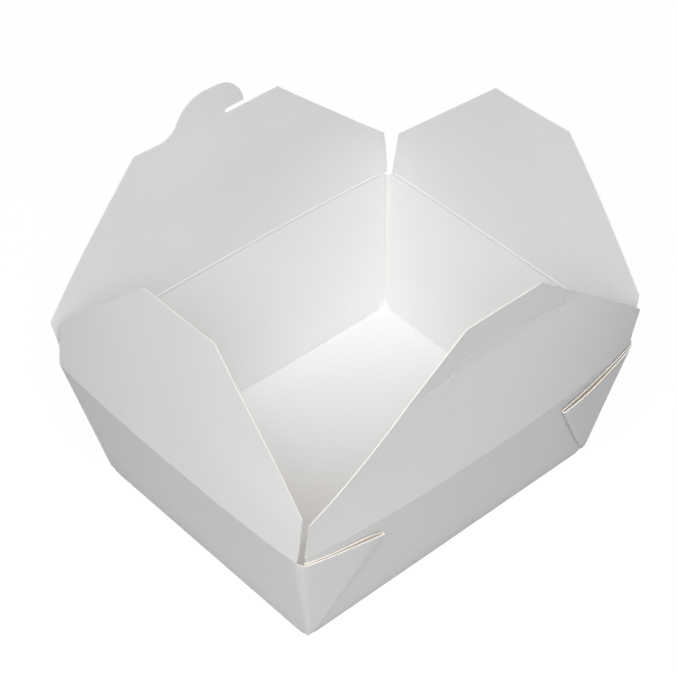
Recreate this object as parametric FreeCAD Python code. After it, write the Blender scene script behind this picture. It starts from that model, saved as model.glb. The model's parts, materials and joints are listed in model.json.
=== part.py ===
"""Folded paperboard takeout box, open: a tapered tray with web corners and four closing flaps.

Millimetres. The underside of the floor lies on z = 0 with the origin at its middle, X runs
along the long side and Y across. The slit lid hangs on the -Y wall, the tab lid on the +Y wall.
"""
import FreeCAD, Part

import math
import os

from FreeCAD import Vector

# Board and folds
board = 0.45                  # thickness of the paperboard
fold_bead = 0.58              # width of the rounded ridge that a scored fold leaves
fold_gap = 0.55               # distance from a rim fold's axis to the foot of its flap
closing_gap = 0.15            # air between two closed flaps, one over the other
corner_radius = 1.2           # rounding of the die-cut corners

# Tray
base_length = 152.0
base_width = 121.3
rim_height = 61.8             # height of the end walls' folds, the lowest of the rim
end_flare = 13.7              # how far each end wall leans out at its rim
side_flare = 12.0             # how far each long wall leans out at its rim
side_rim_length = 173.0       # fold along the top of a long wall, between its web corners
web_wrap = 0.9                # how far an end wall reaches past the long wall at the rim

# Web corners: a triangle of board at each corner, folded in two and laid along the long wall
web_tip_inset = 28.1          # from the base corner to the folded tip, along the long wall
web_tip_rise = 50.0           # from the base to the folded tip, up the slope of the long wall
web_stand_off = 2.9           # how far the tip stands off the long wall

# End flaps
end_flap_depth = 69.1         # from the fold to the free edge
end_flap_side = 20.7          # height of the short edges beside the fold
end_flap_foot = 141.6         # width at the fold
end_flap_shoulder = 139.6     # width where the slanted edges begin
end_flap_top = 40.2           # width of the free edge

# Lid with the locking slit
slit_lid_depth = 76.6
slit_lid_side = 19.0
slit_lid_top = 37.8
slit_lid_foot = 170.4
slit_lid_shoulder = 172.4

# Lid with the hooked tab
tab_lid_depth = 65.8
tab_lid_side = 18.3
tab_lid_top = 72.2
tab_lid_foot = 172.4
tab_lid_shoulder = 173.6

# Hooked tab, drawn from its root up the flank and over the head to the hook's tip
tab_root_radius = 11.0        # hollow where the tab rises from the lid's edge
tab_flank_radius = 17.6       # rounding of the flank
tab_flank_turn = 60.0         # degrees that the flank leans at its steepest
tab_crest = 5.4               # straight stretch at the top of the head
tab_tip_x = 18.3              # place of the hook's tip along the lid
hook_gap = 2.2                # width of the slot under the hook
hook_reach = 8.6              # length of that slot

# Locking slit in the other lid
slit_width = 0.5
slit_wing_inset = 22.3        # from the lid's free edge to the slit's left wing
slit_rise = 6.0               # how much nearer the edge the middle of the slit lies
slit_half_length = 36.5
slit_left_bend = 25.0         # from the middle of the lid to the foot of the left bend
slit_bend_radius = 3.0        # each of the two arcs of the left bend
slit_right_bend = 9.5         # from the middle of the lid to where the right wing slants down
slit_right_drop = 5.2         # how far the right wing slants down

# Angles of the flaps as they stand, from lying closed over the mouth
left_flap_angle = 82.8
right_flap_angle = 97.0
slit_lid_angle = 97.0
tab_lid_angle = 98.7

# Heights that follow from the above: closed, the lids lie one over the other above the end flaps
lid_step = board + closing_gap
slit_fold_height = rim_height + lid_step
tab_fold_height = slit_fold_height + lid_step
floor_middle = board / 2
side_fold_y = base_width / 2 + side_flare
end_fold_x = base_length / 2 + end_flare

BOTH_WAYS = (-1, 1)


def plate(corners):
    """A flat panel of board whose middle plane passes through the given corners."""
    normal = (corners[1] - corners[0]).cross(corners[2] - corners[0]).normalize()
    ring = [corner - normal * (board / 2) for corner in corners]
    face = Part.Face(Part.makePolygon(ring + ring[:1]))
    return face.extrude(normal * board)


def fold(start, end):
    """The rounded ridge of board along one fold."""
    run = end - start
    return Part.makeCylinder(fold_bead / 2, run.Length, start, run)


def knuckle(point):
    """The rounded corner where several folds meet."""
    return Part.makeSphere(fold_bead / 2, point)


def base_corner(side_x, side_y):
    return Vector(side_x * base_length / 2, side_y * base_width / 2, floor_middle)


def long_wall_top(side_x, side_y):
    """Where the fold between a long wall and its web corner reaches the rim."""
    height = slit_fold_height if side_y < 0 else tab_fold_height
    return Vector(side_x * side_rim_length / 2, side_y * side_fold_y, height)


def end_wall_top(side_x, side_y):
    """Where the fold between an end wall and its web corner reaches the rim."""
    return Vector(side_x * end_fold_x, side_y * (side_fold_y + web_wrap), rim_height)


def web_tip(side_x, side_y):
    """The end of the web corner's slanted fold, standing off the long wall."""
    foot = base_corner(side_x, side_y)
    top = long_wall_top(side_x, side_y)
    slope = Vector(0, top.y - foot.y, top.z - foot.z).normalize()
    outward = Vector(0, side_y * slope.z, -side_y * slope.y)
    along = Vector(-side_x * web_tip_inset, 0, 0)
    return foot + along + slope * web_tip_rise + outward * web_stand_off


def floor_panel():
    ring = ((-1, -1), (1, -1), (1, 1), (-1, 1))
    corners = [base_corner(x, y) for x, y in ring]
    pieces = [plate(corners)]
    for index, corner in enumerate(corners):
        pieces.append(fold(corners[index - 1], corner))
        pieces.append(knuckle(corner))
    return pieces


def long_wall(side_y):
    left, right = (base_corner(x, side_y) for x in BOTH_WAYS)
    top_left, top_right = (long_wall_top(x, side_y) for x in BOTH_WAYS)
    return [plate([left, right, top_right, top_left]), fold(top_left, top_right)]


def end_wall(side_x):
    front, back = (base_corner(side_x, y) for y in BOTH_WAYS)
    top_front, top_back = (end_wall_top(side_x, y) for y in BOTH_WAYS)
    return [plate([front, back, top_back, top_front]), fold(top_front, top_back)]


def web_corner(side_x, side_y):
    """The folded triangle: an inner leaf along the long wall and an outer leaf over it."""
    foot = base_corner(side_x, side_y)
    inner_top = long_wall_top(side_x, side_y)
    outer_top = end_wall_top(side_x, side_y)
    tip = web_tip(side_x, side_y)
    leaves = [plate([foot, inner_top, tip]), plate([foot, outer_top, tip])]
    return leaves + [fold(foot, top) for top in (inner_top, outer_top, tip)]


def tray():
    """Floor, four walls and four web corners, folded from one sheet."""
    pieces = floor_panel()
    for side_y in BOTH_WAYS:
        pieces += long_wall(side_y)
    for side_x in BOTH_WAYS:
        pieces += end_wall(side_x)
        for side_y in BOTH_WAYS:
            pieces += web_corner(side_x, side_y)
    sheet = pieces[0].multiFuse(pieces[1:])
    below = Part.makeBox(2 * base_length, 2 * base_width, fold_bead,
                         Vector(-base_length, -base_width, -fold_bead))
    return sheet.cut(below).removeSplitter()


def flap_ring(depth, side, foot, shoulder, top):
    """The six corners of a flap laid flat: X along its fold, Y away from the fold."""
    half = [(foot / 2, fold_gap), (shoulder / 2, side), (top / 2, depth)]
    ring = half + [(-x, y) for x, y in reversed(half)]
    return [Vector(x, y, -board / 2) for x, y in ring]


def rounded_blank(face, corners):
    """A flat blank of board with the given corners rounded."""
    blank = face.extrude(Vector(0, 0, board))
    upright = []
    for edge in blank.Edges:
        box = edge.BoundBox
        at_corner = any(abs(box.XMin - c.x) + abs(box.YMin - c.y) < board / 2 for c in corners)
        if at_corner and box.ZLength > max(box.XLength, box.YLength):
            upright.append(edge)
    return blank.makeFillet(corner_radius, upright)


def end_flap():
    ring = flap_ring(end_flap_depth, end_flap_side, end_flap_foot, end_flap_shoulder, end_flap_top)
    return rounded_blank(Part.Face(Part.makePolygon(ring + ring[:1])), ring[1:5])


def arc(start, middle, end):
    return Part.Arc(start, middle, end).toShape()


def line(start, end):
    return Part.LineSegment(start, end).toShape()


def turned(centre, radius, degrees):
    """The point of a circle at an angle from +X."""
    angle = math.radians(degrees)
    return centre + Vector(radius * math.cos(angle), radius * math.sin(angle), 0)


def slit_path(edge):
    """Middle line of the slit: a short left wing, an S-bend, the middle and a slanted right wing."""
    wing = edge - slit_wing_inset
    middle = wing + slit_rise
    straight = slit_rise - 2 * slit_bend_radius
    bend_x = -slit_left_bend
    foot_centre = Vector(bend_x, wing + slit_bend_radius, 0)
    head_centre = Vector(bend_x + 2 * slit_bend_radius, middle - slit_bend_radius, 0)
    foot_arc = [turned(foot_centre, slit_bend_radius, a) for a in (-90, -45, 0)]
    head_arc = [turned(head_centre, slit_bend_radius, a) for a in (180, 135, 90)]
    run = [line(Vector(-slit_half_length, wing, 0), foot_arc[0]), arc(*foot_arc)]
    if straight > 0:
        run.append(line(foot_arc[-1], head_arc[0]))
    bend = Vector(slit_right_bend, middle, 0)
    run += [arc(*head_arc), line(head_arc[-1], bend)]
    run.append(line(bend, Vector(slit_half_length, middle - slit_right_drop, 0)))
    return Part.Wire(run)


def slit_lid():
    ring = flap_ring(slit_lid_depth, slit_lid_side, slit_lid_foot, slit_lid_shoulder, slit_lid_top)
    blank = rounded_blank(Part.Face(Part.makePolygon(ring + ring[:1])), ring[1:5])
    slot = Part.Face(slit_path(slit_lid_depth).makeOffset2D(slit_width / 2))
    slot.translate(Vector(0, 0, -board))
    return blank.cut(slot.extrude(Vector(0, 0, 2 * board)))


def tab_edges(edge, height):
    """The tab's outline from the hook's slot back to its root, at one height.

    It is drawn with the hook towards -X, because the lid is turned half round into place.
    """
    turn = math.radians(tab_flank_turn)
    flank_run = (tab_root_radius + tab_flank_radius) * math.sin(turn)
    reach = (tab_root_radius + tab_flank_radius) * (1 - math.cos(turn))
    head_radius = reach - hook_gap
    head_centre = Vector(head_radius - tab_tip_x, edge + hook_gap, height)
    crest_end = head_centre.x + tab_crest
    flank_centre = Vector(crest_end, edge + reach - tab_flank_radius, height)
    root_x = crest_end + flank_run
    root_centre = Vector(root_x, edge + tab_root_radius, height)
    slot_end = hook_reach - tab_tip_x
    slot_centre = Vector(slot_end, edge + hook_gap / 2, height)
    tip = turned(head_centre, head_radius, 180)
    head = [tip] + [turned(head_centre, head_radius, a) for a in (135, 90)]
    flank_angle = 90 - tab_flank_turn
    flank = [turned(flank_centre, tab_flank_radius, a) for a in (90, 90 - tab_flank_turn / 2, flank_angle)]
    root_angles = (180 + flank_angle, 180 + flank_angle + tab_flank_turn / 2, 270)
    root = [turned(root_centre, tab_root_radius, a) for a in root_angles]
    slot = [turned(slot_centre, hook_gap / 2, a) for a in (-90, 0, 90)]
    edges = [arc(*slot), line(slot[-1], tip), arc(*head), line(head[-1], flank[0])]
    return slot[0], edges + [arc(*flank), arc(*root)], root[-1]


def tab_lid():
    ring = flap_ring(tab_lid_depth, tab_lid_side, tab_lid_foot, tab_lid_shoulder, tab_lid_top)
    slot_foot, tab, root = tab_edges(tab_lid_depth, -board / 2)
    foot_right, shoulder_right, top_right, top_left, shoulder_left, foot_left = ring
    outline = [line(foot_right, shoulder_right), line(shoulder_right, top_right), line(top_right, root)]
    outline += tab
    outline += [line(slot_foot, top_left), line(top_left, shoulder_left)]
    outline += [line(shoulder_left, foot_left), line(foot_left, foot_right)]
    face = Part.Face(Part.Wire(Part.__sortEdges__(outline)))
    return rounded_blank(face, ring[1:5])


def hung(flap, angle, turn, hinge):
    """Tips a flat flap up by its angle, turns it to its wall and hangs it on the fold's axis."""
    flap.rotate(Vector(0, 0, 0), Vector(1, 0, 0), angle)
    flap.rotate(Vector(0, 0, 0), Vector(0, 0, 1), turn)
    flap.translate(hinge)
    return flap


nodes = {
    "tray": tray(),
    "slit_lid": hung(slit_lid(), slit_lid_angle, 0, Vector(0, -side_fold_y, slit_fold_height)),
    "tab_lid": hung(tab_lid(), tab_lid_angle, 180, Vector(0, side_fold_y, tab_fold_height)),
    "left_end_flap": hung(end_flap(), left_flap_angle, -90, Vector(-end_fold_x, 0, rim_height)),
    "right_end_flap": hung(end_flap(), right_flap_angle, 90, Vector(end_fold_x, 0, rim_height)),
}

os.makedirs("parts", exist_ok=True)
for name, shape in nodes.items():
    solids = shape.Solids
    if len(solids) != 1 or not shape.isValid():
        raise RuntimeError(name + " is not one sound solid")
    solids[0].exportStep("parts/" + name + ".step")
    print(name, round(shape.Volume, 2))
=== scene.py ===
"""Looks of an open takeout food box folded from one sheet of white paperboard.

The frame gives the hinges and the outline of every flap. Each panel is a thin sheet of board that
bows where the folded corners pull at it, with rounded folds and raw cut edges.
"""
import json
import math
from collections import namedtuple

import bmesh
import bpy
import numpy as np
from bpy.props import FloatProperty, FloatVectorProperty, PointerProperty
from mathutils import Matrix, Vector, geometry, noise


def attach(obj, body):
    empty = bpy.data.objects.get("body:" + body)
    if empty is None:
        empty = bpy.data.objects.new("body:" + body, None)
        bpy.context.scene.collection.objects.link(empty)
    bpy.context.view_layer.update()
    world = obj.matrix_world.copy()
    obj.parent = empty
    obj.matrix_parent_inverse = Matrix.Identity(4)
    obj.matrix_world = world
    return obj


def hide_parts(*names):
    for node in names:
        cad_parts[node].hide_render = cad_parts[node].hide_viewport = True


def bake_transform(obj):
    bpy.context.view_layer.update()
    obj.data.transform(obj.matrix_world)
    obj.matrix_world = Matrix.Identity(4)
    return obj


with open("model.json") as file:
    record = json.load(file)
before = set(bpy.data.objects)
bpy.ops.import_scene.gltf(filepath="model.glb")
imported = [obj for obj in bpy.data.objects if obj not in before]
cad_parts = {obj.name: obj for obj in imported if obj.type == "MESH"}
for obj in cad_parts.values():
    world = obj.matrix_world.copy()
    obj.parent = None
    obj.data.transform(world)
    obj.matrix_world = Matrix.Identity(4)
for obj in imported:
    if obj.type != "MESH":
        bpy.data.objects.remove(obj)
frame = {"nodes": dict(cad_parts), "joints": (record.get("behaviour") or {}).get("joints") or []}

bl_info = {
    "name": "Takeout food box",
    "version": (1, 0, 0),
    "blender": (4, 5, 0),
    "location": "View3D > Sidebar > Food Box",
    "description": "Builds the folded paperboard box, its flaps and a studio around the CAD frame",
    "category": "Add Mesh",
}

BODY = "tray"
UP = Vector((0, 0, 1))
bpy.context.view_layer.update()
JOINTS = {joint["child"]: joint for joint in frame["joints"]}
MILLIMETRE = 0.001


# Sizes and colours

def number(name, description, default, **limits):
    return FloatProperty(name=name, description=description, default=default, **limits)


def length(name, description, default):
    return number(name, description, default, unit="LENGTH", precision=5)


def lengths(description):
    """A maker of lengths that share a description."""
    return lambda name, default: length(name, description, default)


dip = lengths("How far its cut edge lies below the folds")
bulge = lengths("How far its wall bows out at the rim")
fade = lengths("Depth over which this dies out")
slide = lengths("How far its foot draws along its fold")
curl = lengths("How far one corner of its free edge curls out")


def share(name, description, default):
    return number(name, description, default, min=0, max=1, subtype="FACTOR")


def colour(name, description, default):
    return FloatVectorProperty(name=name, description=description, default=default, size=3,
                               min=0, max=1, subtype="COLOR")


def angle(name, description, degrees):
    return number(name, description, math.radians(degrees), subtype="ANGLE")


class BoardSettings(bpy.types.PropertyGroup):
    thickness: length("Board thickness", "Thickness of the paperboard", 0.00045)
    white: colour("Board white", "Coated face of the board", (0.80, 0.798, 0.796))
    fleck: colour("Board shade", "Greyer patches of the coated face", (0.763, 0.761, 0.757))
    # Painted warm bounce light: mixed into the inner face in the webs and in the shaded near left
    # corner
    shaded: colour("Shaded face", "Warm tint of the near corner and the webs", (0.95, 0.875, 0.80))
    # Painted shade: a grey line along the floor's fold and along each web's tip fold
    fold_shade: colour("Painted fold shade", "Greyer line along a fold of the base or a web", (0.40, 0.395, 0.385))
    raw: colour("Cut edge", "Raw fibres of a cut edge", (0.87, 0.835, 0.77))
    waviness: length("Waviness", "How far the panels swell and hollow", 0.00014)
    mesh_step: length("Mesh step", "Distance between the points of a panel", 0.0025)


class TraySettings(bpy.types.PropertyGroup):
    base_length: length("Base length", "Inside length of the floor", 0.152)
    base_width: length("Base width", "Inside width of the floor", 0.1213)
    rim_length: length("Rim length", "Fold along the top of a long wall", 0.173)
    web_wrap: length("Web wrap", "How far an end wall reaches past the long wall", 0.0009)
    front_bow: bulge("Front bow", 0.0054)
    back_bow: bulge("Back bow", 0.0022)
    left_bow: bulge("Left bow", 0.0024)
    right_bow: bulge("Right bow", 0.0005)
    base_rounding: length("Base rounding", "Board that bends at a fold of the floor", 0.0013)
    low_rounding: length("Low rounding", "Rounding of an upright corner at the floor", 0.0010)
    high_rounding: length("High rounding", "Rounding of an upright corner at the rim", 0.0047)
    near_left_dip: dip("Near left dip", 0.0031)
    near_right_dip: dip("Near right dip", 0.0013)
    far_right_dip: dip("Far right dip", 0.0011)
    far_left_dip: dip("Far left dip", 0.0029)
    near_right_pull: length("Near right pull", "Its rim drawn in along the front wall", 0.0018)
    near_right_draw: length("Near right draw", "Its rim drawn in along the end wall", 0.0003)
    blunt_reach: length("Blunt reach", "How near a corner of the floor its blunting starts", 0.0034)
    left_tip_inset: length("Left tip inset", "From base corner to web tip along the wall", 0.0253)
    left_tip_rise: length("Left tip rise", "From base to web tip up the wall", 0.0533)
    right_tip_inset: length("Right tip inset", "From base corner to web tip along the wall", 0.0313)
    right_tip_rise: length("Right tip rise", "From base to web tip up the wall", 0.0546)
    leaf_gap: length("Leaf gap", "Between the middles of the wall and its leaf", 0.0005)
    leaf_lift: length("Leaf lift", "How much farther off the wall a web's tip stands", 0.0003)
    tip_gap: length("Tip gap", "Between the middles of the two leaves at the tip", 0.0012)
    pocket: length("Pocket", "How far the outer leaf of a right web bulges away", 0.0006)
    left_arch: length("Left arch", "How far a left web's inner leaf arches up", 0.0015)
    long_foot: length("Long foot", "Foot of a lid along the fold of its wall", 0.1704)
    end_foot: length("End foot", "Foot of an end flap along the fold of its wall", 0.1416)
    ridge_width: length("Ridge width", "Width of the flat ridge that a scored fold raises", 0.0018)
    ridge_depth: length("Ridge depth", "Thickness of the board in the ridge", 0.00056)
    ridge_sink: length("Ridge sink", "From the board's middle in to the ridge's middle", 0.00015)
    base_ridge_width: length("Base ridge width", "Height of a floor fold's ridge", 0.0008)
    base_ridge_depth: length("Base ridge depth", "Thickness of a floor fold's ridge", 0.00045)


class FlapSettings(bpy.types.PropertyGroup):
    slit_lid_fade: fade("Slit lid fade", 0.055)
    tab_lid_fade: fade("Tab lid fade", 0.045)
    left_fade: fade("Left flap fade", 0.300)
    right_fade: fade("Right flap fade", 0.024)
    tab_spread: share("Tab lid spread", "How much wider the tab lid stands at its shoulders", 0.019)
    tab_skew: number("Tab lid skew", "Rise of the tab lid's shoulders per length", -0.015)
    tab_droop: length("Tab lid droop", "How much lower the tab lid's shoulders hang", 0.0005)
    slit_slide: slide("Slit lid slide", -0.0015)
    tab_slide: slide("Tab lid slide", -0.0014)
    slit_lean: curl("Slit lid lean", 0.0008)
    tab_lean: curl("Tab lid lean", 0.0019)
    left_lean: curl("Left flap lean", -0.0012)
    right_lean: curl("Right flap lean", 0.0012)
    tab_curl: length("Tab curl", "How far the tab's tip bends in from the lid", 0.0009)
    left_slide: slide("Left flap slide", 0.0011)
    lid_slide_fade: fade("Lid slide fade", 0.020)
    right_slide: slide("Right flap slide", 0.0004)
    flap_slide_fade: fade("Flap slide fade", 0.200)
    left_spread: share("Left flap spread", "How much wider it stands at its shoulders", 0.020)


class StageSettings(bpy.types.PropertyGroup):
    azimuth: angle("Azimuth", "Direction that the camera looks from", -41.613)
    elevation: angle("Elevation", "Height of the camera above the horizon", 42.345)
    roll: angle("Roll", "Turn of the camera about its line of sight", -0.317)
    distance: length("Distance", "From the camera to the point that it looks at", 0.95795)
    lens: number("Lens", "Focal length in millimetres", 121.2)
    target: FloatVectorProperty(name="Target", description="Point that the camera looks at",
                                default=(0.02531, 0.03411, 0.030), size=3, unit="LENGTH")
    floor_white: colour("Floor", "Paper that the box stands on", (0.95, 0.95, 0.95))
    floor_glow: colour("Floor glow", "Share of light it throws back on the box", (0.70, 0.70, 0.70))
    floor_shade: share("Floor shade", "How much of the box's shadow the camera sees", 0.055)
    floor_light: number("Floor light", "Brightness that lifts the floor to white", 1.022)
    sky: number("Sky", "Strength of the even light", 0.05)
    key: number("Key", "Power of the large soft lamp in watts", 13.5)


class FoodBoxSettings(bpy.types.PropertyGroup):
    board: PointerProperty(type=BoardSettings)
    tray: PointerProperty(type=TraySettings)
    flaps: PointerProperty(type=FlapSettings)
    stage: PointerProperty(type=StageSettings)


def settings():
    return bpy.context.scene.food_box


# Shader building

class Wire:
    """A node socket in Python arithmetic: every step adds one Math node."""

    def __init__(self, tree, socket):
        self.tree = tree
        self.socket = socket

    def step(self, operation, first, second):
        node = self.tree.nodes.new("ShaderNodeMath")
        node.operation = operation
        for slot, value in zip(node.inputs, (first, second)):
            plug(self.tree, slot, value)
        return Wire(self.tree, node.outputs[0])

    def __add__(self, other):
        return self.step("ADD", self, other)

    def __radd__(self, other):
        return self.step("ADD", other, self)

    def __mul__(self, other):
        return self.step("MULTIPLY", self, other)

    def __rmul__(self, other):
        return self.step("MULTIPLY", other, self)


def plug(tree, slot, value):
    """Links a wire to a socket, or sets the socket's own value."""
    if isinstance(value, Wire):
        tree.links.new(value.socket, slot)
    elif slot.type == "RGBA":
        slot.default_value = (*value[:3], 1)
    else:
        slot.default_value = value


class Recipe:
    """One material's node tree."""

    def __init__(self, name):
        self.material = bpy.data.materials.new(name)
        self.material.use_nodes = True
        self.tree = self.material.node_tree
        self.tree.nodes.clear()

    def node(self, kind, output=0, given=(), **choices):
        """Adds a node with its choices set first and its sockets filled, and returns one output."""
        node = self.tree.nodes.new(kind)
        for key, value in choices.items():
            setattr(node, key, value)
        for key, value in dict(given).items():
            plug(self.tree, node.inputs[key], value)
        return Wire(self.tree, node.outputs[output])

    def mix(self, factor, first, second):
        given = {0: factor, 6: first, 7: second}
        return self.node("ShaderNodeMix", 2, given, data_type="RGBA")

    def surface(self, shader):
        output = self.tree.nodes.new("ShaderNodeOutputMaterial")
        plug(self.tree, output.inputs["Surface"], shader)
        return self.material


# Features of the board's patterns per metre
CLOUDS, SWELLS, GRAINS, FIBRES = 28.0, 160.0, 900.0, 2600.0


def noise_wire(recipe, place, scale, detail=2.0, roughness=0.5):
    given = {"Vector": place, "Scale": scale, "Detail": detail, "Roughness": roughness}
    return recipe.node("ShaderNodeTexNoise", "Fac", given)


def coated_board():
    """White coated paperboard: satin, faintly mottled, fibrous, with painted warm bounce light and
    fold shade.
    """
    board = settings().board
    recipe = Recipe("coated_board")
    place = recipe.node("ShaderNodeTexCoord", "Object")
    cloud = noise_wire(recipe, place, CLOUDS, 3.0)
    grain = noise_wire(recipe, place, GRAINS, 3.0, 0.6)
    rolling = noise_wire(recipe, place, SWELLS, 2.0)
    tint = recipe.mix(cloud * 0.55 + grain * 0.25, board.white, board.fleck)
    # Painted warm bounce light on the inner face, and painted shade along the folds on the outer
    # face
    for mark, shade in (("painted_warm_bounce", board.shaded), ("painted_fold_shade", board.fold_shade)):
        amount = recipe.node("ShaderNodeAttribute", "Fac", attribute_name=mark)
        tint = recipe.mix(amount, tint, shade)
    bump = {"Height": rolling * 0.35 + grain * 0.12, "Strength": 0.10, "Distance": 0.0006}
    given = {"Base Color": tint, "Roughness": 0.50 + 0.12 * grain + 0.06 * cloud,
             "Specular IOR Level": 0.42, "Normal": recipe.node("ShaderNodeBump", "Normal", bump)}
    return recipe.surface(recipe.node("ShaderNodeBsdfPrincipled", "BSDF", given))


def raw_edge():
    """Cut edge of the board: cream, matt, with fine fibres."""
    board = settings().board
    recipe = Recipe("raw_edge")
    place = recipe.node("ShaderNodeTexCoord", "Object")
    fibre = noise_wire(recipe, place, FIBRES, 3.0, 0.7)
    tint = recipe.mix(fibre * 0.6, board.raw, board.fleck)
    bump = {"Height": fibre, "Strength": 0.3, "Distance": 0.0001}
    given = {"Base Color": tint, "Roughness": 0.9, "Specular IOR Level": 0.2,
             "Normal": recipe.node("ShaderNodeBump", "Normal", bump)}
    return recipe.surface(recipe.node("ShaderNodeBsdfPrincipled", "BSDF", given))


def finishes():
    """The board's coated face and its cut edge, each made once."""
    return [bpy.data.materials.get(make.__name__) or make() for make in (coated_board, raw_edge)]


# Sheets of board

BOW_POWER = 2.6  # of a bowed fold: 2 is a parabola, more is flatter in the middle
WRAP_PACE = 0.05  # share of a wall's height over which its wrap opens
LEAF_PACE = 0.14  # the same for the gaps between the leaves of a web
WAVES = 26.0  # swells and hollows of a panel per metre
WELD = 0.02 * MILLIMETRE  # points nearer than this are one
SLIVER = 0.001 * MILLIMETRE  # edges shorter than this are dropped
SHARP = math.radians(50)  # least angle of an edge that shades sharp


def lerp(start, end, amount):
    return start + (end - start) * amount


def bend(start, corner, end, amount):
    """A point on the rounded way from start to end past a corner."""
    return lerp(lerp(start, corner, amount), lerp(corner, end, amount), amount)


def bow(reach, half, along):
    """How far a bowed fold stands out: level at its middle, steep at its ends."""
    return reach * max(0.0, 1 - abs(along / half) ** BOW_POWER)


def settle(rise, pace=WRAP_PACE):
    """Grows from 0 at the floor to 1 a little above it."""
    return 1 - math.exp(-rise / pace)


def early(rise):
    """Grows fast from 0 at the floor and reaches 1 level at the rim."""
    return 1 - (1 - rise) ** 2


def eased(value):
    """Smooth step from 0 to 1."""
    value = min(1.0, max(0.0, value))
    return value * value * (3 - 2 * value)


def swell(point, reach):
    """Gentle unevenness of a panel."""
    return reach * noise.noise(point * WAVES)


def object_from(name, mesh, materials):
    thing = bpy.data.objects.new(name, mesh)
    bpy.context.scene.collection.objects.link(thing)
    for material in materials:
        mesh.materials.append(material)
    return thing


def thickened(name, points, faces, marks=None):
    """A closed sheet of board around a middle surface, with raw edges where the surface ends.

    Marks give each point painted warm bounce light for its inner side and painted fold shade for
    its outer side.
    """
    middle = bmesh.new()
    painted_warm_bounce = middle.verts.layers.float.new("painted_warm_bounce")
    fold_shade = middle.verts.layers.float.new("fold_shade")
    corners = [middle.verts.new(point) for point in points]
    for corner, mark in zip(corners, marks or ()):
        corner[painted_warm_bounce], corner[fold_shade] = mark
    for face in faces:
        if len({tuple(points[index]) for index in face}) == len(face):
            middle.faces.new([corners[index] for index in face])
    bmesh.ops.remove_doubles(middle, verts=middle.verts, dist=WELD)
    bmesh.ops.dissolve_degenerate(middle, edges=middle.edges, dist=SLIVER)
    middle.verts.ensure_lookup_table()
    middle.verts.index_update()
    middle.normal_update()
    half = settings().board.thickness / 2
    sheet = bmesh.new()
    outer = [sheet.verts.new(v.co + v.normal * half) for v in middle.verts]
    inner = [sheet.verts.new(v.co - v.normal * half) for v in middle.verts]
    for face in middle.faces:
        ring = [v.index for v in face.verts]
        sheet.faces.new([outer[i] for i in ring])
        sheet.faces.new([inner[i] for i in reversed(ring)])
    for loop in (edge.link_loops[0] for edge in middle.edges if edge.is_boundary):
        start, end = loop.vert.index, loop.link_loop_next.vert.index
        rim = sheet.faces.new((outer[end], outer[start], inner[start], inner[end]))
        rim.material_index = 1
    for face in sheet.faces:
        face.smooth = True
    mesh = bpy.data.meshes.new(name)
    sheet.to_mesh(mesh)
    zeros = [0.0] * len(middle.verts)
    for key, values in (("painted_warm_bounce", zeros + [v[painted_warm_bounce] for v in middle.verts]),
                        ("painted_fold_shade", [v[fold_shade] for v in middle.verts] + zeros)):
        mesh.attributes.new(key, "FLOAT", "POINT").data.foreach_set("value", values)
    middle.free()
    sheet.free()
    mesh.set_sharp_from_angle(angle=SHARP)
    return object_from(name, mesh, finishes())


# Tray

DRAWN_FROM = 0.5  # share of a half rim that a drawn-in corner leaves alone
DIP_POWER = 4  # how late a wall's end falls back to its dipped cut edge
STILL_POWER = 4  # how near its ends a wall stops waving
ARCH_POWER = 14  # how late a web's cut edges arch
INNER_SKEW, OUTER_SKEW = 3, 1.8  # how far the leaves' arches lean towards the tip
OUTER_ARCH = 0.35  # arch of an outer leaf, as a share of the inner one's
LONGEST_ROUNDING = 0.35  # of an upright corner, as a share of its leaf
# Painted shade on a web's tip fold, and painted warm bounce light in the tray's near left corner
# with its reach
TIP_PAINTED_SHADE = 0.3  # how grey the fold at a web's tip is
PAINTED_CORNER_BOUNCE = 0.6  # warmth of the tray's near left corner
PAINTED_BOUNCE_REACH = 0.075  # and the distance in which it fades
FLOOR_LEVEL = 1e-6  # lowest level at which a web still has a size
FIRST_LEVEL, SECOND_LEVEL = 0.0105, 0.0165
LEVEL_STEPS, LEVEL_POWER = 26, 1.15
ARC_STEPS = 5  # along the fold of the floor
CORNER_STEPS = 6  # round an upright corner
BLUNTING, BLUNT_LIFT = 0.32, 0.8  # of a base corner: inwards, and upwards as a share of that
COLUMNS = {"front": 44, "back": 44, "left": 34, "right": 34}

# Columns at a wall's ends, their side and the share in which they follow the dipped cut edge
DIPPED = ((0, -1, 1.0), (1, -1, 0.25), (-2, 1, 0.25), (-1, 1, 1.0))

# Each wall, the one that follows it, and whether the web between them starts at the end wall
RING = (("front", "right", False), ("right", "back", True),
        ("back", "left", False), ("left", "front", True))


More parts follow.
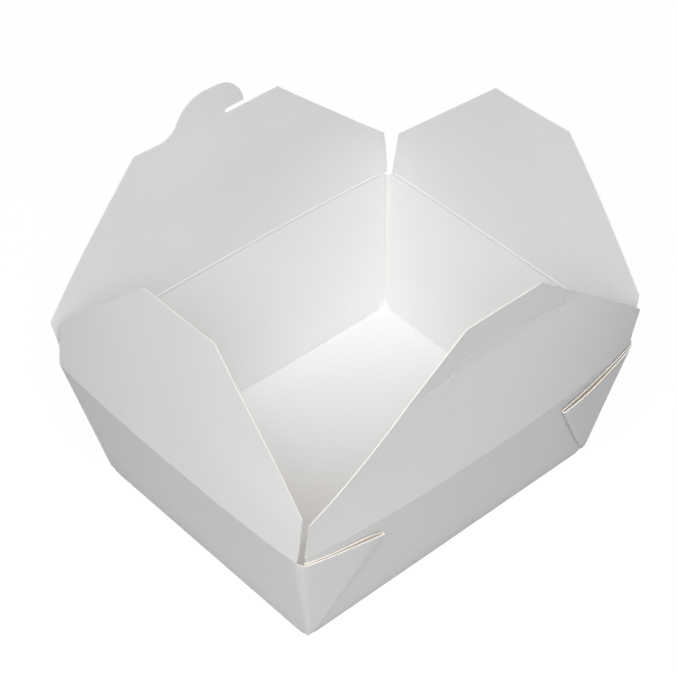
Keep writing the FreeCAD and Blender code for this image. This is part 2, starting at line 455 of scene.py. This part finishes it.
class Wall:
    """One wall of the tray: its fold at the floor, its fold at the rim and its bow."""

    def __init__(self, flap, base_half, base_out, rim_half, reach, foot_half, dips,
                 pulls=(0.0, 0.0), draws=(0.0, 0.0), wrap=0.0):
        self.fold = Vector(JOINTS[flap]["pos_m"])
        self.base_half, self.rim_half, self.foot_half = base_half, rim_half, foot_half
        self.dips, self.pulls, self.draws = dips, pulls, draws
        self.reach, self.wrap = reach, wrap
        self.out = Vector((self.fold.x, self.fold.y, 0)).normalized()
        self.along = UP.cross(self.out)
        self.foot = self.out * base_out + UP * (settings().board.thickness / 2)

    def half(self, rise, side=0):
        """Half of the wall's length at a level, towards one of its ends."""
        sharp = lerp(self.base_half, self.rim_half - self.wrap, rise) + self.wrap * settle(rise)
        return sharp - self.pulls[side > 0] * early(rise)

    def stand(self, along, half):
        """How far the rim stands out from its straight fold: bowed, and drawn in at an end."""
        beside = max(0.0, abs(along / half) - DRAWN_FROM) / (1 - DRAWN_FROM)
        return bow(self.reach, half, along) - self.draws[int(along > 0)] * beside ** 2

    def low(self, side, rise):
        """Share of its height that an end of the wall keeps below the dip of its cut edge."""
        return 1 - self.dips[side > 0] / self.fold.z * rise ** DIP_POWER

    def corner(self, side, rise):
        """Where the wall meets its neighbour if the corner were sharp."""
        sharp = lerp(self.foot, self.fold, rise) + self.along * side * self.half(rise, side)
        return sharp - self.out * self.draws[side > 0] * early(rise)

    def point(self, across, rise, inset=0.0):
        """A point of the wall: across from -1 to 1, rise from 0 at the floor to 1 at the rim."""
        half = self.half(rise, across)
        along = across * (half - inset)
        flat = lerp(self.foot, self.fold, rise) + self.along * along
        still = math.sin(math.pi * min(rise, 1.0)) * (1 - across ** STILL_POWER)
        bowed = bow(self.reach, half, along) * rise
        drawn = (self.stand(along, half) - bow(self.reach, half, along)) * early(rise)
        stand = bowed + drawn + swell(flat, settings().board.waviness) * still
        return flat + self.out * stand

    def rim(self, across):
        return self.point(across, 1.0)


def walls():
    """The four walls, each with its dips, pulls and draws at its two ends."""
    tray = settings().tray
    long_half, short_half = tray.base_length / 2, tray.base_width / 2
    rim_half, wrap = tray.rim_length / 2, tray.web_wrap
    side_fold = abs(JOINTS["slit_lid"]["pos_m"][1]) + wrap
    long_foot, end_foot = tray.long_foot / 2, tray.end_foot / 2
    pull, draw = tray.near_right_pull, tray.near_right_draw
    return {
        "front": Wall("slit_lid", long_half, short_half, rim_half, tray.front_bow, long_foot,
                      (tray.near_left_dip, tray.near_right_dip), (0.0, pull), (0.0, draw)),
        "right": Wall("right_end_flap", short_half, long_half, side_fold, tray.right_bow, end_foot,
                      (tray.near_right_dip, tray.far_right_dip), (draw, 0.0), (pull, 0.0), wrap),
        "back": Wall("tab_lid", long_half, short_half, rim_half, tray.back_bow, long_foot,
                     (tray.far_right_dip, tray.far_left_dip)),
        "left": Wall("left_end_flap", short_half, long_half, side_fold, tray.left_bow, end_foot,
                     (tray.far_left_dip, tray.near_left_dip), wrap=wrap),
    }


class WebCorner:
    """The folded triangle between a long wall and an end wall, drawn on the long wall's slope."""

    turn_steps = 6
    leaf_steps = 9

    def __init__(self, long_wall, end_wall):
        tray = settings().tray
        side = 1 if long_wall.along.dot(end_wall.out) > 0 else -1
        end_side = 1 if end_wall.along.dot(long_wall.out) > 0 else -1
        self.wall, self.side = long_wall, side
        self.end_wall, self.end_side = end_wall, end_side
        self.inward = -side * long_wall.along
        self.foot = long_wall.foot + long_wall.along * side * long_wall.base_half
        self.upward = (long_wall.fold - long_wall.foot).normalized()
        self.outward = self.upward.cross(self.inward)
        if self.outward.dot(long_wall.out) < 0:
            self.outward = -self.outward
        self.inner_top = self.flat(long_wall.corner(side, 1.0))
        if end_wall.out.x < 0:
            self.tip = Vector((tray.left_tip_inset, tray.left_tip_rise, 0))
            self.arch, self.pocket = tray.left_arch, 0.0
        else:
            self.tip = Vector((tray.right_tip_inset, tray.right_tip_rise, 0))
            self.arch, self.pocket = 0.0, tray.pocket
        self.height = self.inner_top.y

    def flat(self, point):
        """A point in the corner's own directions: along the wall, up its slope and off it."""
        away = point - self.foot
        return Vector((away.dot(self.inward), away.dot(self.upward), away.dot(self.outward)))

    def solid(self, place):
        """The point that lies at a place of the slope, moved out with the wall's bow."""
        rise = max(place.y, 0) / self.height
        half = self.wall.half(rise)
        stand = bow(self.wall.reach, half, self.wall.base_half - place.x) * rise
        flat = self.foot + self.inward * place.x + self.upward * place.y + self.outward * place.z
        return flat + self.wall.out * stand

    def across(self, end):
        """Direction on the slope square to a fold that runs from the foot."""
        run = Vector((end.x, end.y, 0)).normalized()
        return Vector((run.y, -run.x, 0))

    def half_turn(self, start, end, towards):
        """Places on a half circle from start to end."""
        middle = (start + end) / 2
        radius = (end - start).length / 2
        angles = [math.pi * step / self.turn_steps for step in range(1, self.turn_steps)]
        return [middle + (start - middle) * math.cos(turn) + towards * radius * math.sin(turn)
                for turn in angles]

    def section(self, rise, rounding):
        """The web at one level, from the long wall's last point to the end wall's first."""
        tray = settings().tray
        off, upright = Vector((0, 0, 1)), Vector((0, 1, 0))
        low = rise * self.wall.low(self.side, rise)
        opened, late = settle(rise, LEAF_PACE), rise ** ARCH_POWER
        gap, lift = tray.leaf_gap * opened, tray.leaf_lift * opened
        start = self.flat(self.wall.corner(self.side, low))
        inner_leaf, outer_leaf = [], []
        for step in range(self.leaf_steps + 1):
            amount = step / self.leaf_steps
            place = lerp(start, self.tip * rise, amount) + off * (gap + lift * amount)
            arch = math.sin(math.pi * amount ** INNER_SKEW) * self.arch * late
            inner_leaf.append(place + upright * arch)
        tip = self.tip * rise + off * (gap + lift + tray.tip_gap * opened)
        knee = self.flat(self.end_wall.corner(self.end_side, low))
        first = min(LONGEST_ROUNDING, rounding / (tip - knee).length)
        for step in range(self.leaf_steps + 1):
            amount = lerp(1.0, first, step / self.leaf_steps)
            swing = math.sin(math.pi * amount ** OUTER_SKEW) * late
            place = lerp(knee, tip, amount) + off * (swing * self.pocket)
            outer_leaf.append(place + upright * (swing * OUTER_ARCH * self.arch))
        places = self.half_turn(start, inner_leaf[0], -self.across(self.inner_top))
        places += inner_leaf
        places += self.half_turn(inner_leaf[-1], outer_leaf[0], self.across(self.tip))
        places += outer_leaf
        return [self.solid(place) for place in places], self.solid(knee)

    def marks(self):
        """Painted warm bounce light and painted fold shade of a level's points, in the order of its
        section.
        """
        leaf = [(1.0, 0.0)] * (self.leaf_steps + 1)
        turned = self.turn_steps - 1
        return [(1.0, 0.0)] * turned + leaf + [(1.0, TIP_PAINTED_SHADE)] * turned + leaf


def web_after(parts, this, following, from_end):
    """The web corner between a wall and the one that follows it."""
    pair = (following, this) if from_end else (this, following)
    return WebCorner(*(parts[name] for name in pair))


def tray_levels():
    """Heights of the tray's rows of points, close together near the floor and the rim."""
    shares = [(step / LEVEL_STEPS) ** LEVEL_POWER for step in range(1, LEVEL_STEPS + 1)]
    return [FIRST_LEVEL, SECOND_LEVEL] + [lerp(FIRST_LEVEL, 1.0, part) for part in shares]


def stations(wall, count):
    """Where a wall's columns of points stand, from -1 to 1, with one at each edge of its flap."""
    edge = wall.foot_half / wall.rim_half
    inner = [edge * (2 * i / count - 1) for i in range(count + 1)]
    return [-1, -(1 + edge) / 2] + inner + [(1 + edge) / 2, 1]


def tray_marks(parts):
    """Painted warm bounce light and fold shade of a row's points: bounce in the webs, shade at
    their tip folds.
    """
    marks = []
    for this, following, from_end in RING:
        marks += [(0.0, 0.0)] * len(stations(parts[this], COLUMNS[this]))
        way = web_after(parts, this, following, from_end).marks()
        way += [(0.0, 0.0)] * (CORNER_STEPS - 1)
        marks += reversed(way) if from_end else way
    return marks


def near_corner_warmth(point):
    """Painted warm bounce light on the inner face: most in the corner of the slit lid and the left
    flap, in shade.
    """
    tray = settings().tray
    corner = Vector((-tray.base_length / 2, -tray.base_width / 2, 0))
    return PAINTED_CORNER_BOUNCE * math.exp(-((point - corner).length / PAINTED_BOUNCE_REACH) ** 2)


def tray_ring(parts, level):
    """One closed row of points round the tray at a level."""
    tray = settings().tray
    rounding = lerp(tray.low_rounding, tray.high_rounding, level) * settle(level)
    ring = []
    for this, following, from_end in RING:
        wall = parts[this]
        inset = rounding if from_end else 0.0
        places = stations(wall, COLUMNS[this])
        own = [wall.point(place, level, inset) for place in places]
        if not from_end:
            for index, side, depth in DIPPED:
                low = lerp(1.0, wall.low(side, level), depth)
                own[index] = wall.point(places[index], level * low, inset)
        ring += own
        web = web_after(parts, this, following, from_end)
        way, knee = web.section(level, rounding)
        end_point = web.end_wall.point(1 if from_end else -1, level, rounding)
        way += [bend(way[-1], knee, end_point, i / CORNER_STEPS) for i in range(1, CORNER_STEPS)]
        ring += reversed(way) if from_end else way
    return ring


def tray_points(parts):
    """Rows of points from the edge of the floor, round its fold and up to the rim."""
    tray = settings().tray
    rows = [tray_ring(parts, level) for level in tray_levels()]
    fold_row = tray_ring(parts, FLOOR_LEVEL)
    shrink_x = 1 - tray.base_rounding / (tray.base_length / 2)
    shrink_y = 1 - tray.base_rounding / (tray.base_width / 2)
    floor_row = [Vector((p.x * shrink_x, p.y * shrink_y, p.z)) for p in fold_row]
    arc = [[bend(a, b, c, step / ARC_STEPS) for a, b, c in zip(floor_row, fold_row, rows[0])]
           for step in range(1, ARC_STEPS)]
    return [[blunted(point) for point in row] for row in [floor_row] + arc + rows]


def blunted(point):
    """A point of the tray, drawn in where it lies beside a corner of the floor."""
    tray = settings().tray
    side = Vector((math.copysign(1, point.x), math.copysign(1, point.y), 0))
    corner = Vector((side.x * tray.base_length / 2, side.y * tray.base_width / 2, 0))
    near = max(0.0, 1 - (point - corner).length / tray.blunt_reach)
    return point + (UP * BLUNT_LIFT - side) * (BLUNTING * tray.blunt_reach * near ** 2)


def folded_tray():
    """The tray's floor, walls and web corners as one folded sheet."""
    tray, parts = settings().tray, walls()
    rows = tray_points(parts)
    count = len(rows[0])
    points = [point for row in rows for point in row]
    faces = []
    for low in range(0, (len(rows) - 1) * count, count):
        for column in range(count):
            after, high = (column + 1) % count, low + count
            faces.append((low + column, low + after, high + after, high + column))
    base_x = tray.base_length / 2 - tray.base_rounding
    base_y = tray.base_width / 2 - tray.base_rounding
    floor_z = settings().board.thickness / 2
    across = stations(parts["front"], COLUMNS["front"])
    deep = stations(parts["right"], COLUMNS["right"])
    start, wide = len(points), len(across)
    points += [blunted(Vector((base_x * x, base_y * y, floor_z))) for y in deep for x in across]
    for j in range(len(deep) - 1):
        for i in range(wide - 1):
            corner = start + j * wide + i
            faces.append((corner, corner + wide, corner + wide + 1, corner + 1))
    # Painted shade on the rows round the floor's fold; painted warm bounce light near the near left
    # corner
    painted_shade_rows = ARC_STEPS + 1
    marks = []
    for line in [1.0] * painted_shade_rows + [0.0] * (len(rows) - painted_shade_rows):
        marks += [(painted_warm_bounce, max(fold_shade, line)) for painted_warm_bounce, fold_shade in tray_marks(parts)]
    marks += [(0.0, 0.0)] * (len(points) - len(marks))
    marks = [(max(near_corner_warmth(point), painted_warm_bounce), fold_shade)
             for point, (painted_warm_bounce, fold_shade) in zip(points, marks)]
    return thickened("folded_tray", points, faces, marks)


# Flaps

# Across a flap's own plane, in millimetres
FOOT_BAND = 3.0  # band that stretches to close the gap at the fold
SHOULDER = 18.5  # height of the shoulders, where a skew is largest
FINE_ROW, ROW_GAP = 0.7, 0.6  # between rows of points in the band beside the fold, and above it
LEAST_CLEARANCE = 0.3  # from a point to an edge, as a share of the mesh step
WIDEST_CLEARANCE = 2.0  # mesh step from which that clearance grows no more
CURL_START, CURL_WIDTH = 66, 18
WAVE_START = 20  # depth by which a flap waves in full

ROW_SHARE = 0.87  # height of an even-sided triangle
FACING = 0.99  # of a face that looks along a flap's own normal
HUMP_POWER = 0.7  # how near the foot a flap is widest
TWIST_FALL = 1.6  # how far a skew turns over above the shoulders
LEAST_SLIDE = -0.4  # how far a slide turns over above its fade
DRAW_FADE = 0.1  # metres over which the drawn-in corners of the rim die out
LEAST_BEND = 2.5 * MILLIMETRE  # of the band of closer rows beside a flap's fold
BEND_PER_BOW = 1.15


class Hinge:
    """Where one flap hangs: the middle of its fold and its directions at rest."""

    def __init__(self, node):
        self.node = node
        self.fold = Vector(JOINTS[node]["pos_m"])
        self.out = Vector((self.fold.x, self.fold.y, 0)).normalized()
        self.along = UP.cross(self.out)
        spots = [vertex.co - self.fold for vertex in frame["nodes"][node].data.vertices]
        middle = sum(spots, Vector()) / len(spots)
        self.away = (middle - self.along * middle.dot(self.along)).normalized()
        self.face = self.along.cross(self.away)

    def outlines(self):
        """The flap's outline and its cut-outs as loops on its own plane, in millimetres."""
        solid = bmesh.new()
        solid.from_mesh(frame["nodes"][self.node].data)
        bmesh.ops.remove_doubles(solid, verts=solid.verts, dist=SLIVER)
        solid.normal_update()
        front = {face for face in solid.faces if face.normal.dot(self.face) > FACING}
        following = {}
        for face in front:
            for loop in face.loops:
                if not any(other in front for other in loop.edge.link_faces if other is not face):
                    following[loop.vert] = loop.link_loop_next.vert
        loops = []
        while following:
            start = next(iter(following))
            ring, vertex = [], start
            while vertex in following:
                away = vertex.co - self.fold
                ring.append((away.dot(self.along) / MILLIMETRE, away.dot(self.away) / MILLIMETRE))
                vertex = following.pop(vertex)
            loops.append(np.array(ring))
        solid.free()
        return loops


def divided(loop, step):
    """A loop with its long edges cut into short ones."""
    points = []
    for start, end in zip(loop, np.roll(loop, -1, axis=0)):
        pieces = max(1, int(np.linalg.norm(end - start) / step + 0.5))
        points += [start + (end - start) * i / pieces for i in range(pieces)]
    return np.array(points)


def within(points, loops):
    """Which points lie on the board: inside the outline and outside its cut-outs."""
    crossed = np.zeros(len(points), int)
    for loop in loops:
        for (x0, y0), (x1, y1) in zip(loop, np.roll(loop, -1, axis=0)):
            if y0 == y1:
                continue
            spans = (points[:, 1] >= min(y0, y1)) & (points[:, 1] < max(y0, y1))
            meets = x0 + (points[:, 1] - y0) * (x1 - x0) / (y1 - y0)
            crossed += spans & (points[:, 0] < meets)
    return crossed % 2 == 1


def clearance(points, loops):
    """Distance from each point to the nearest edge."""
    nearest = np.full(len(points), 1e9)
    for loop in loops:
        for start, end in zip(loop, np.roll(loop, -1, axis=0)):
            run = end - start
            part = np.clip(((points - start) @ run) / max(run @ run, 1e-12), 0, 1)
            away = np.linalg.norm(points - start - part[:, None] * run, axis=1)
            nearest = np.minimum(nearest, away)
    return nearest


def panel_triangles(loops, step, fold_band):
    """Points and triangles that fill a flap, with closer rows beside its fold."""
    low, high = loops[0].min(axis=0), loops[0].max(axis=0)
    foot, turned = low[1], low[1] + fold_band
    heights = [*np.arange(foot + FINE_ROW, turned, FINE_ROW),
               *np.arange(turned + ROW_GAP, high[1], step * ROW_SHARE)]
    spots = []
    for index, height in enumerate(heights):
        shift = step / 2 if index % 2 else 0.0
        spots += [(x, height) for x in np.arange(low[0] + shift, high[0], step)]
    spots = np.array(spots)
    spots = spots[within(spots, loops)]
    spots = spots[clearance(spots, loops) > LEAST_CLEARANCE * min(step, WIDEST_CLEARANCE)]
    corners, edges = [], []
    for loop in loops:
        first = len(corners)
        corners += [tuple(point) for point in loop]
        edges += [(first + i, first + (i + 1) % len(loop)) for i in range(len(loop))]
    flat = [Vector(point) for point in corners + [tuple(spot) for spot in spots]]
    made = geometry.delaunay_2d_cdt(flat, edges, [], 1, 1e-6)
    points, triangles = made[0], made[2]
    centres = np.array([sum((points[i] for i in face), Vector((0, 0))) / len(face)
                        for face in triangles])
    kept = within(centres, loops)
    return points, [face for face, keep in zip(triangles, kept) if keep]


# A curled corner: its reach and side, where it starts across the flap and in what width it grows,
# and the depths in millimetres between which it grows
Lean = namedtuple("Lean", "reach side start width low high")


def leaning(lean, across, away):
    """How far a corner of a flap curls out at a place: across from -1 to 1, away in millimetres."""
    beside = eased((lean.side * across - lean.start) / lean.width)
    return lean.reach * beside * eased((away - lean.low) / (lean.high - lean.low))


def flap_object(name, node, wall, fade, lean, spread=0.0, slides=(0.0, 0.0), slide_fade=1.0,
                skew=0.0, droop=0.0, curl=0.0):
    """A flap of board cut to the frame's outline, its foot following the bowed rim."""
    board = settings().board
    hinge = Hinge(node)
    raw = hinge.outlines()
    raw.sort(key=lambda loop: -np.ptp(loop[:, 0]))
    foot, depth = raw[0][:, 1].min(), raw[0][:, 1].max()
    for loop in raw:
        near = loop[:, 1] < FOOT_BAND
        loop[near, 1] = (loop[near, 1] - foot) * FOOT_BAND / (FOOT_BAND - foot)
    step = board.mesh_step / MILLIMETRE
    loops = [divided(loop, step) for loop in raw]
    turn_band = blend_depth(wall.reach) / MILLIMETRE
    flat, triangles = panel_triangles(loops, step, turn_band)
    points = []
    for spot in flat:
        along, away = spot.x * MILLIMETRE, spot.y * MILLIMETRE
        hump = math.sin(math.pi * min(1.0, max(0.0, spot.y / depth)) ** HUMP_POWER)
        above = (spot.y - SHOULDER) / (depth - SHOULDER)
        twist = min(spot.y / SHOULDER, 1 - TWIST_FALL * above)
        along, away = along * (1 + spread * hump), away + twist * (skew * along - droop)
        across = along / wall.rim_half
        along += lerp(*slides, (across + 1) / 2) * max(LEAST_SLIDE, 1 - away / slide_fade)
        base = hinge.fold + hinge.along * along + hinge.away * away
        left = max(0.0, 1 - away / fade)
        bowed = bow(wall.reach, wall.rim_half, along)
        drawn = wall.stand(along, wall.rim_half) - bowed
        stand = bowed * left + drawn * max(0.0, 1 - away / DRAW_FADE)
        curled = curl * max(0.0, (spot.y - CURL_START) / CURL_WIDTH)
        stand += leaning(lean, across, spot.y) - curled
        wave = swell(base, board.waviness) * min(1.0, spot.y / WAVE_START)
        points.append(base + hinge.out * stand + hinge.face * wave)
    sheet = thickened(name, points, triangles)
    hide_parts(node)
    hinge.fold + hinge.away * blend_depth(wall.reach)
    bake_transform(sheet)


def blend_depth(reach):
    """Width of the band of closer rows beside a flap's fold: wider where its fold is bowed more."""
    return LEAST_BEND + BEND_PER_BOW * reach


# Fold ridges

RIDGE_SIDES, RIDGE_STEPS = 12, 40
RIDGE_END = 1.2 * MILLIMETRE  # from the end of a rim ridge to the edge of the flap
BASE_RIDGE_INSET = 0.45  # up and in from the floor's fold, as a share of its rounding


def ridge_tree():
    """Geometry nodes that run a round ridge along fold lines, and its inputs by their names."""
    tree = bpy.data.node_groups.new("fold_ridges", "GeometryNodeTree")
    tree.is_modifier = True
    sockets = {}
    for label, kind in (("Geometry", "Geometry"), ("Ridge size", "Vector"), ("Sides", "Int"),
                        ("Board", "Material")):
        made = tree.interface.new_socket(label, in_out="INPUT", socket_type="NodeSocket" + kind)
        sockets[label] = made.identifier
    tree.interface.new_socket("Geometry", in_out="OUTPUT", socket_type="NodeSocketGeometry")
    given, lines, level, profile, flatten, tube, smooth, whole, dress, result = (
        tree.nodes.new(kind) for kind in (
            "NodeGroupInput", "GeometryNodeMeshToCurve", "GeometryNodeSetCurveNormal",
            "GeometryNodeCurvePrimitiveCircle", "GeometryNodeTransform",
            "GeometryNodeCurveToMesh", "GeometryNodeSetShadeSmooth",
            "GeometryNodeRealizeInstances", "GeometryNodeSetMaterial", "NodeGroupOutput"))
    level.mode = "Z_UP"
    profile.inputs["Radius"].default_value = 0.5
    tube.inputs["Fill Caps"].default_value = True
    for source, out, target, into in (
            (given, "Geometry", lines, "Mesh"), (lines, "Curve", level, "Curve"),
            (given, "Sides", profile, "Resolution"), (profile, "Curve", flatten, "Geometry"),
            (given, "Ridge size", flatten, "Scale"), (level, "Curve", tube, "Curve"),
            (flatten, "Geometry", tube, "Profile Curve"), (tube, "Mesh", smooth, "Geometry"),
            (smooth, "Geometry", whole, "Geometry"), (whole, "Geometry", dress, "Geometry"),
            (given, "Board", dress, "Material"), (dress, "Geometry", result, "Geometry")):
        tree.links.new(source.outputs[out], target.inputs[into])
    return tree, sockets


def fold_lines():
    """Middle lines of the ridges: the four folds of the rim, and the four of the floor."""
    tray = settings().tray
    upper, lower = [], []
    for wall in walls().values():
        edge = (wall.foot_half - RIDGE_END) / wall.rim_half
        places = [edge * (2 * i / RIDGE_STEPS - 1) for i in range(RIDGE_STEPS + 1)]
        upper.append([wall.rim(place) - wall.out * tray.ridge_sink for place in places])
        inner = wall.foot + (UP - wall.out) * (tray.base_rounding * BASE_RIDGE_INSET)
        reach = wall.along * (wall.base_half - 2 * tray.base_rounding)
        lower.append([inner - reach, inner + reach])
    return upper, lower


def fold_ridges(name, lines, depth, width, tree, sockets):
    """The slim ridges that scored folds leave inside the tray."""
    points, edges = [], []
    for line in lines:
        first = len(points)
        points += line
        edges += [(first + i, first + i + 1) for i in range(len(line) - 1)]
    mesh = bpy.data.meshes.new("fold_lines")
    mesh.from_pydata(points, edges, [])
    carrier = object_from("fold_lines", mesh, ())
    modifier = carrier.modifiers.new("Ridges", "NODES")
    modifier.node_group = tree
    modifier[sockets["Ridge size"]] = (depth, width, 1.0)
    modifier[sockets["Sides"]] = RIDGE_SIDES
    modifier[sockets["Board"]] = finishes()[0]
    bpy.context.view_layer.update()
    evaluated = carrier.evaluated_get(bpy.context.evaluated_depsgraph_get())
    made = bpy.data.meshes.new_from_object(evaluated)
    made.name = name
    bpy.data.objects.remove(carrier)
    ridges = object_from(name, made, ())
    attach(ridges, BODY)


# Operators

class FOODBOX_OT_tray(bpy.types.Operator):
    """Fold the floor, the walls and the web corners from one sheet"""
    bl_idname = "foodbox.tray"
    bl_label = "Tray"
    bl_options = {"REGISTER", "UNDO"}

    def execute(self, context):
        tray = folded_tray()
        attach(tray, BODY)
        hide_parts(BODY)
        return {"FINISHED"}


class FOODBOX_OT_ridges(bpy.types.Operator):
    """Raise the ridges along the folds of the rim and the floor"""
    bl_idname = "foodbox.ridges"
    bl_label = "Fold ridges"
    bl_options = {"REGISTER", "UNDO"}

    def execute(self, context):
        tray = settings().tray
        upper, lower = fold_lines()
        grown = ridge_tree()
        fold_ridges("rim_ridges", upper, tray.ridge_depth, tray.ridge_width, *grown)
        fold_ridges("base_ridges", lower, tray.base_ridge_depth, tray.base_ridge_width, *grown)
        return {"FINISHED"}


class FOODBOX_OT_lids(bpy.types.Operator):
    """Hang the lid with the slit and the lid with the hooked tab"""
    bl_idname = "foodbox.lids"
    bl_label = "Lids"
    bl_options = {"REGISTER", "UNDO"}

    def execute(self, context):
        parts, flaps = walls(), settings().flaps
        flap_object("slit_lid_board", "slit_lid", parts["front"], flaps.slit_lid_fade,
                    Lean(flaps.slit_lean, -1, 0.1, 0.5, 20, 60),
                    slides=(flaps.slit_slide, flaps.slit_slide), slide_fade=flaps.lid_slide_fade)
        flap_object("tab_lid_board", "tab_lid", parts["back"], flaps.tab_lid_fade,
                    Lean(flaps.tab_lean, 1, -0.15, 0.6, 0, 50), flaps.tab_spread,
                    (flaps.tab_slide, 0.0), flaps.lid_slide_fade, flaps.tab_skew,
                    flaps.tab_droop, flaps.tab_curl)
        return {"FINISHED"}


class FOODBOX_OT_end_flaps(bpy.types.Operator):
    """Hang the two end flaps"""
    bl_idname = "foodbox.end_flaps"
    bl_label = "End flaps"
    bl_options = {"REGISTER", "UNDO"}

    def execute(self, context):
        parts, flaps = walls(), settings().flaps
        flap_object("left_flap_board", "left_end_flap", parts["left"], flaps.left_fade,
                    Lean(flaps.left_lean, 1, 0.1, 0.7, 12, 37), flaps.left_spread,
                    (flaps.left_slide, flaps.left_slide), flaps.flap_slide_fade)
        flap_object("right_flap_board", "right_end_flap", parts["right"], flaps.right_fade,
                    Lean(flaps.right_lean, -1, -0.15, 0.6, 15, 65), 0.0,
                    (flaps.right_slide, flaps.right_slide), flaps.flap_slide_fade)
        return {"FINISHED"}


FLOOR_REACH = 3.0  # half the side of the studio's floor, in metres
LAMP_PLACE, LAMP_TARGET, LAMP_SIZE = (-0.424, -0.424, 0.922), (0, 0, 0.05), 0.9
SENSOR_WIDTH = 36.0  # millimetres
NEAREST, FARTHEST = 0.05, 20.0  # what the camera sees, in metres


def paper_floor():
    """Material of the floor: white to the camera, with a faint share of the box's shadow."""
    stage = settings().stage
    recipe = Recipe("paper_floor")
    seen = recipe.node("ShaderNodeLightPath", "Is Camera Ray")
    tone = recipe.mix(seen, stage.floor_glow, stage.floor_white)
    paper = recipe.node("ShaderNodeBsdfDiffuse", "BSDF", {"Color": tone})
    white = recipe.node("ShaderNodeEmission", "Emission",
                        {"Color": (1, 1, 1), "Strength": stage.floor_light})
    given = {0: seen * (1 - stage.floor_shade), 1: paper, 2: white}
    return recipe.surface(recipe.node("ShaderNodeMixShader", "Shader", given))


def studio_floor():
    reach = FLOOR_REACH
    corners = [(-reach, -reach, 0), (reach, -reach, 0), (reach, reach, 0), (-reach, reach, 0)]
    mesh = bpy.data.meshes.new("studio_floor")
    mesh.from_pydata(corners, [], [(0, 1, 2, 3)])
    object_from("studio_floor", mesh, [paper_floor()])


def studio_sky():
    """Even light, white where the camera or a reflection sees it."""
    stage = settings().stage
    world = bpy.data.worlds.new("studio")
    bpy.context.scene.world = world
    world.use_nodes = True
    tree = world.node_tree
    tree.nodes.clear()
    path = tree.nodes.new("ShaderNodeLightPath")
    seen = Wire(tree, path.outputs["Is Camera Ray"])
    light = tree.nodes.new("ShaderNodeBackground")
    light.inputs["Color"].default_value = (1, 1, 1, 1)
    plug(tree, light.inputs["Strength"], seen * (1 - stage.sky) + stage.sky)
    output = tree.nodes.new("ShaderNodeOutputWorld")
    tree.links.new(light.outputs["Background"], output.inputs["Surface"])


def key_lamp():
    """The large soft lamp above the near left of the box."""
    data = bpy.data.lights.new("key_light", "AREA")
    data.shape = "DISK"
    data.size = LAMP_SIZE
    data.energy = settings().stage.key
    thing = bpy.data.objects.new("key_light", data)
    bpy.context.scene.collection.objects.link(thing)
    thing.location = LAMP_PLACE
    aim = Vector(LAMP_TARGET) - Vector(LAMP_PLACE)
    thing.rotation_euler = aim.to_track_quat("-Z", "Y").to_euler()


def photo_camera():
    """Camera at the photograph's place, aimed and rolled as the photograph was."""
    stage = settings().stage
    turn, lift = stage.azimuth, stage.elevation
    level_share = math.cos(lift)
    back = Vector((math.sin(turn) * level_share, -math.cos(turn) * level_share, math.sin(lift)))
    level = UP.cross(back).normalized()
    upright = back.cross(level)
    right = level * math.cos(stage.roll) + upright * math.sin(stage.roll)
    up = upright * math.cos(stage.roll) - level * math.sin(stage.roll)
    data = bpy.data.cameras.new("photo_camera")
    data.lens = stage.lens
    data.sensor_width = SENSOR_WIDTH
    camera = bpy.data.objects.new("photo_camera", data)
    bpy.context.scene.collection.objects.link(camera)
    place = Vector(stage.target) + back * stage.distance
    aim = Matrix((right, up, back)).transposed()
    camera.matrix_world = Matrix.LocRotScale(place, aim.to_quaternion(), None)
    data.clip_start, data.clip_end = NEAREST, FARTHEST
    bpy.context.scene.camera = camera


class FOODBOX_OT_stage(bpy.types.Operator):
    """Set up the white floor, the soft light and the camera"""
    bl_idname = "foodbox.stage"
    bl_label = "Studio"
    bl_options = {"REGISTER", "UNDO"}

    def execute(self, context):
        studio_floor()
        studio_sky()
        key_lamp()
        photo_camera()
        context.scene.view_settings.view_transform = "Standard"
        return {"FINISHED"}


BUILDERS = (FOODBOX_OT_tray, FOODBOX_OT_ridges, FOODBOX_OT_lids, FOODBOX_OT_end_flaps,
            FOODBOX_OT_stage)


class FOODBOX_PT_panel(bpy.types.Panel):
    """Lists the steps that build the food box"""
    bl_idname = "FOODBOX_PT_panel"
    bl_label = "Food Box"
    bl_space_type = "VIEW_3D"
    bl_region_type = "UI"
    bl_category = "Food Box"

    def draw(self, context):
        column = self.layout.column(align=True)
        for builder in BUILDERS:
            column.operator(builder.bl_idname)
        for group in (settings().board, settings().tray, settings().flaps, settings().stage):
            box = self.layout.box()
            for key in group.__annotations__:
                box.prop(group, key)


CLASSES = (BoardSettings, TraySettings, FlapSettings, StageSettings, FoodBoxSettings,
           *BUILDERS, FOODBOX_PT_panel)


def register():
    for kind in CLASSES:
        bpy.utils.register_class(kind)
    bpy.types.Scene.food_box = PointerProperty(type=FoodBoxSettings)


def unregister():
    del bpy.types.Scene.food_box
    for kind in reversed(CLASSES):
        bpy.utils.unregister_class(kind)


def main():
    register()
    for builder in BUILDERS:
        group, name = builder.bl_idname.split(".")
        getattr(getattr(bpy.ops, group), name)()


if __name__ == "__main__":
    main()
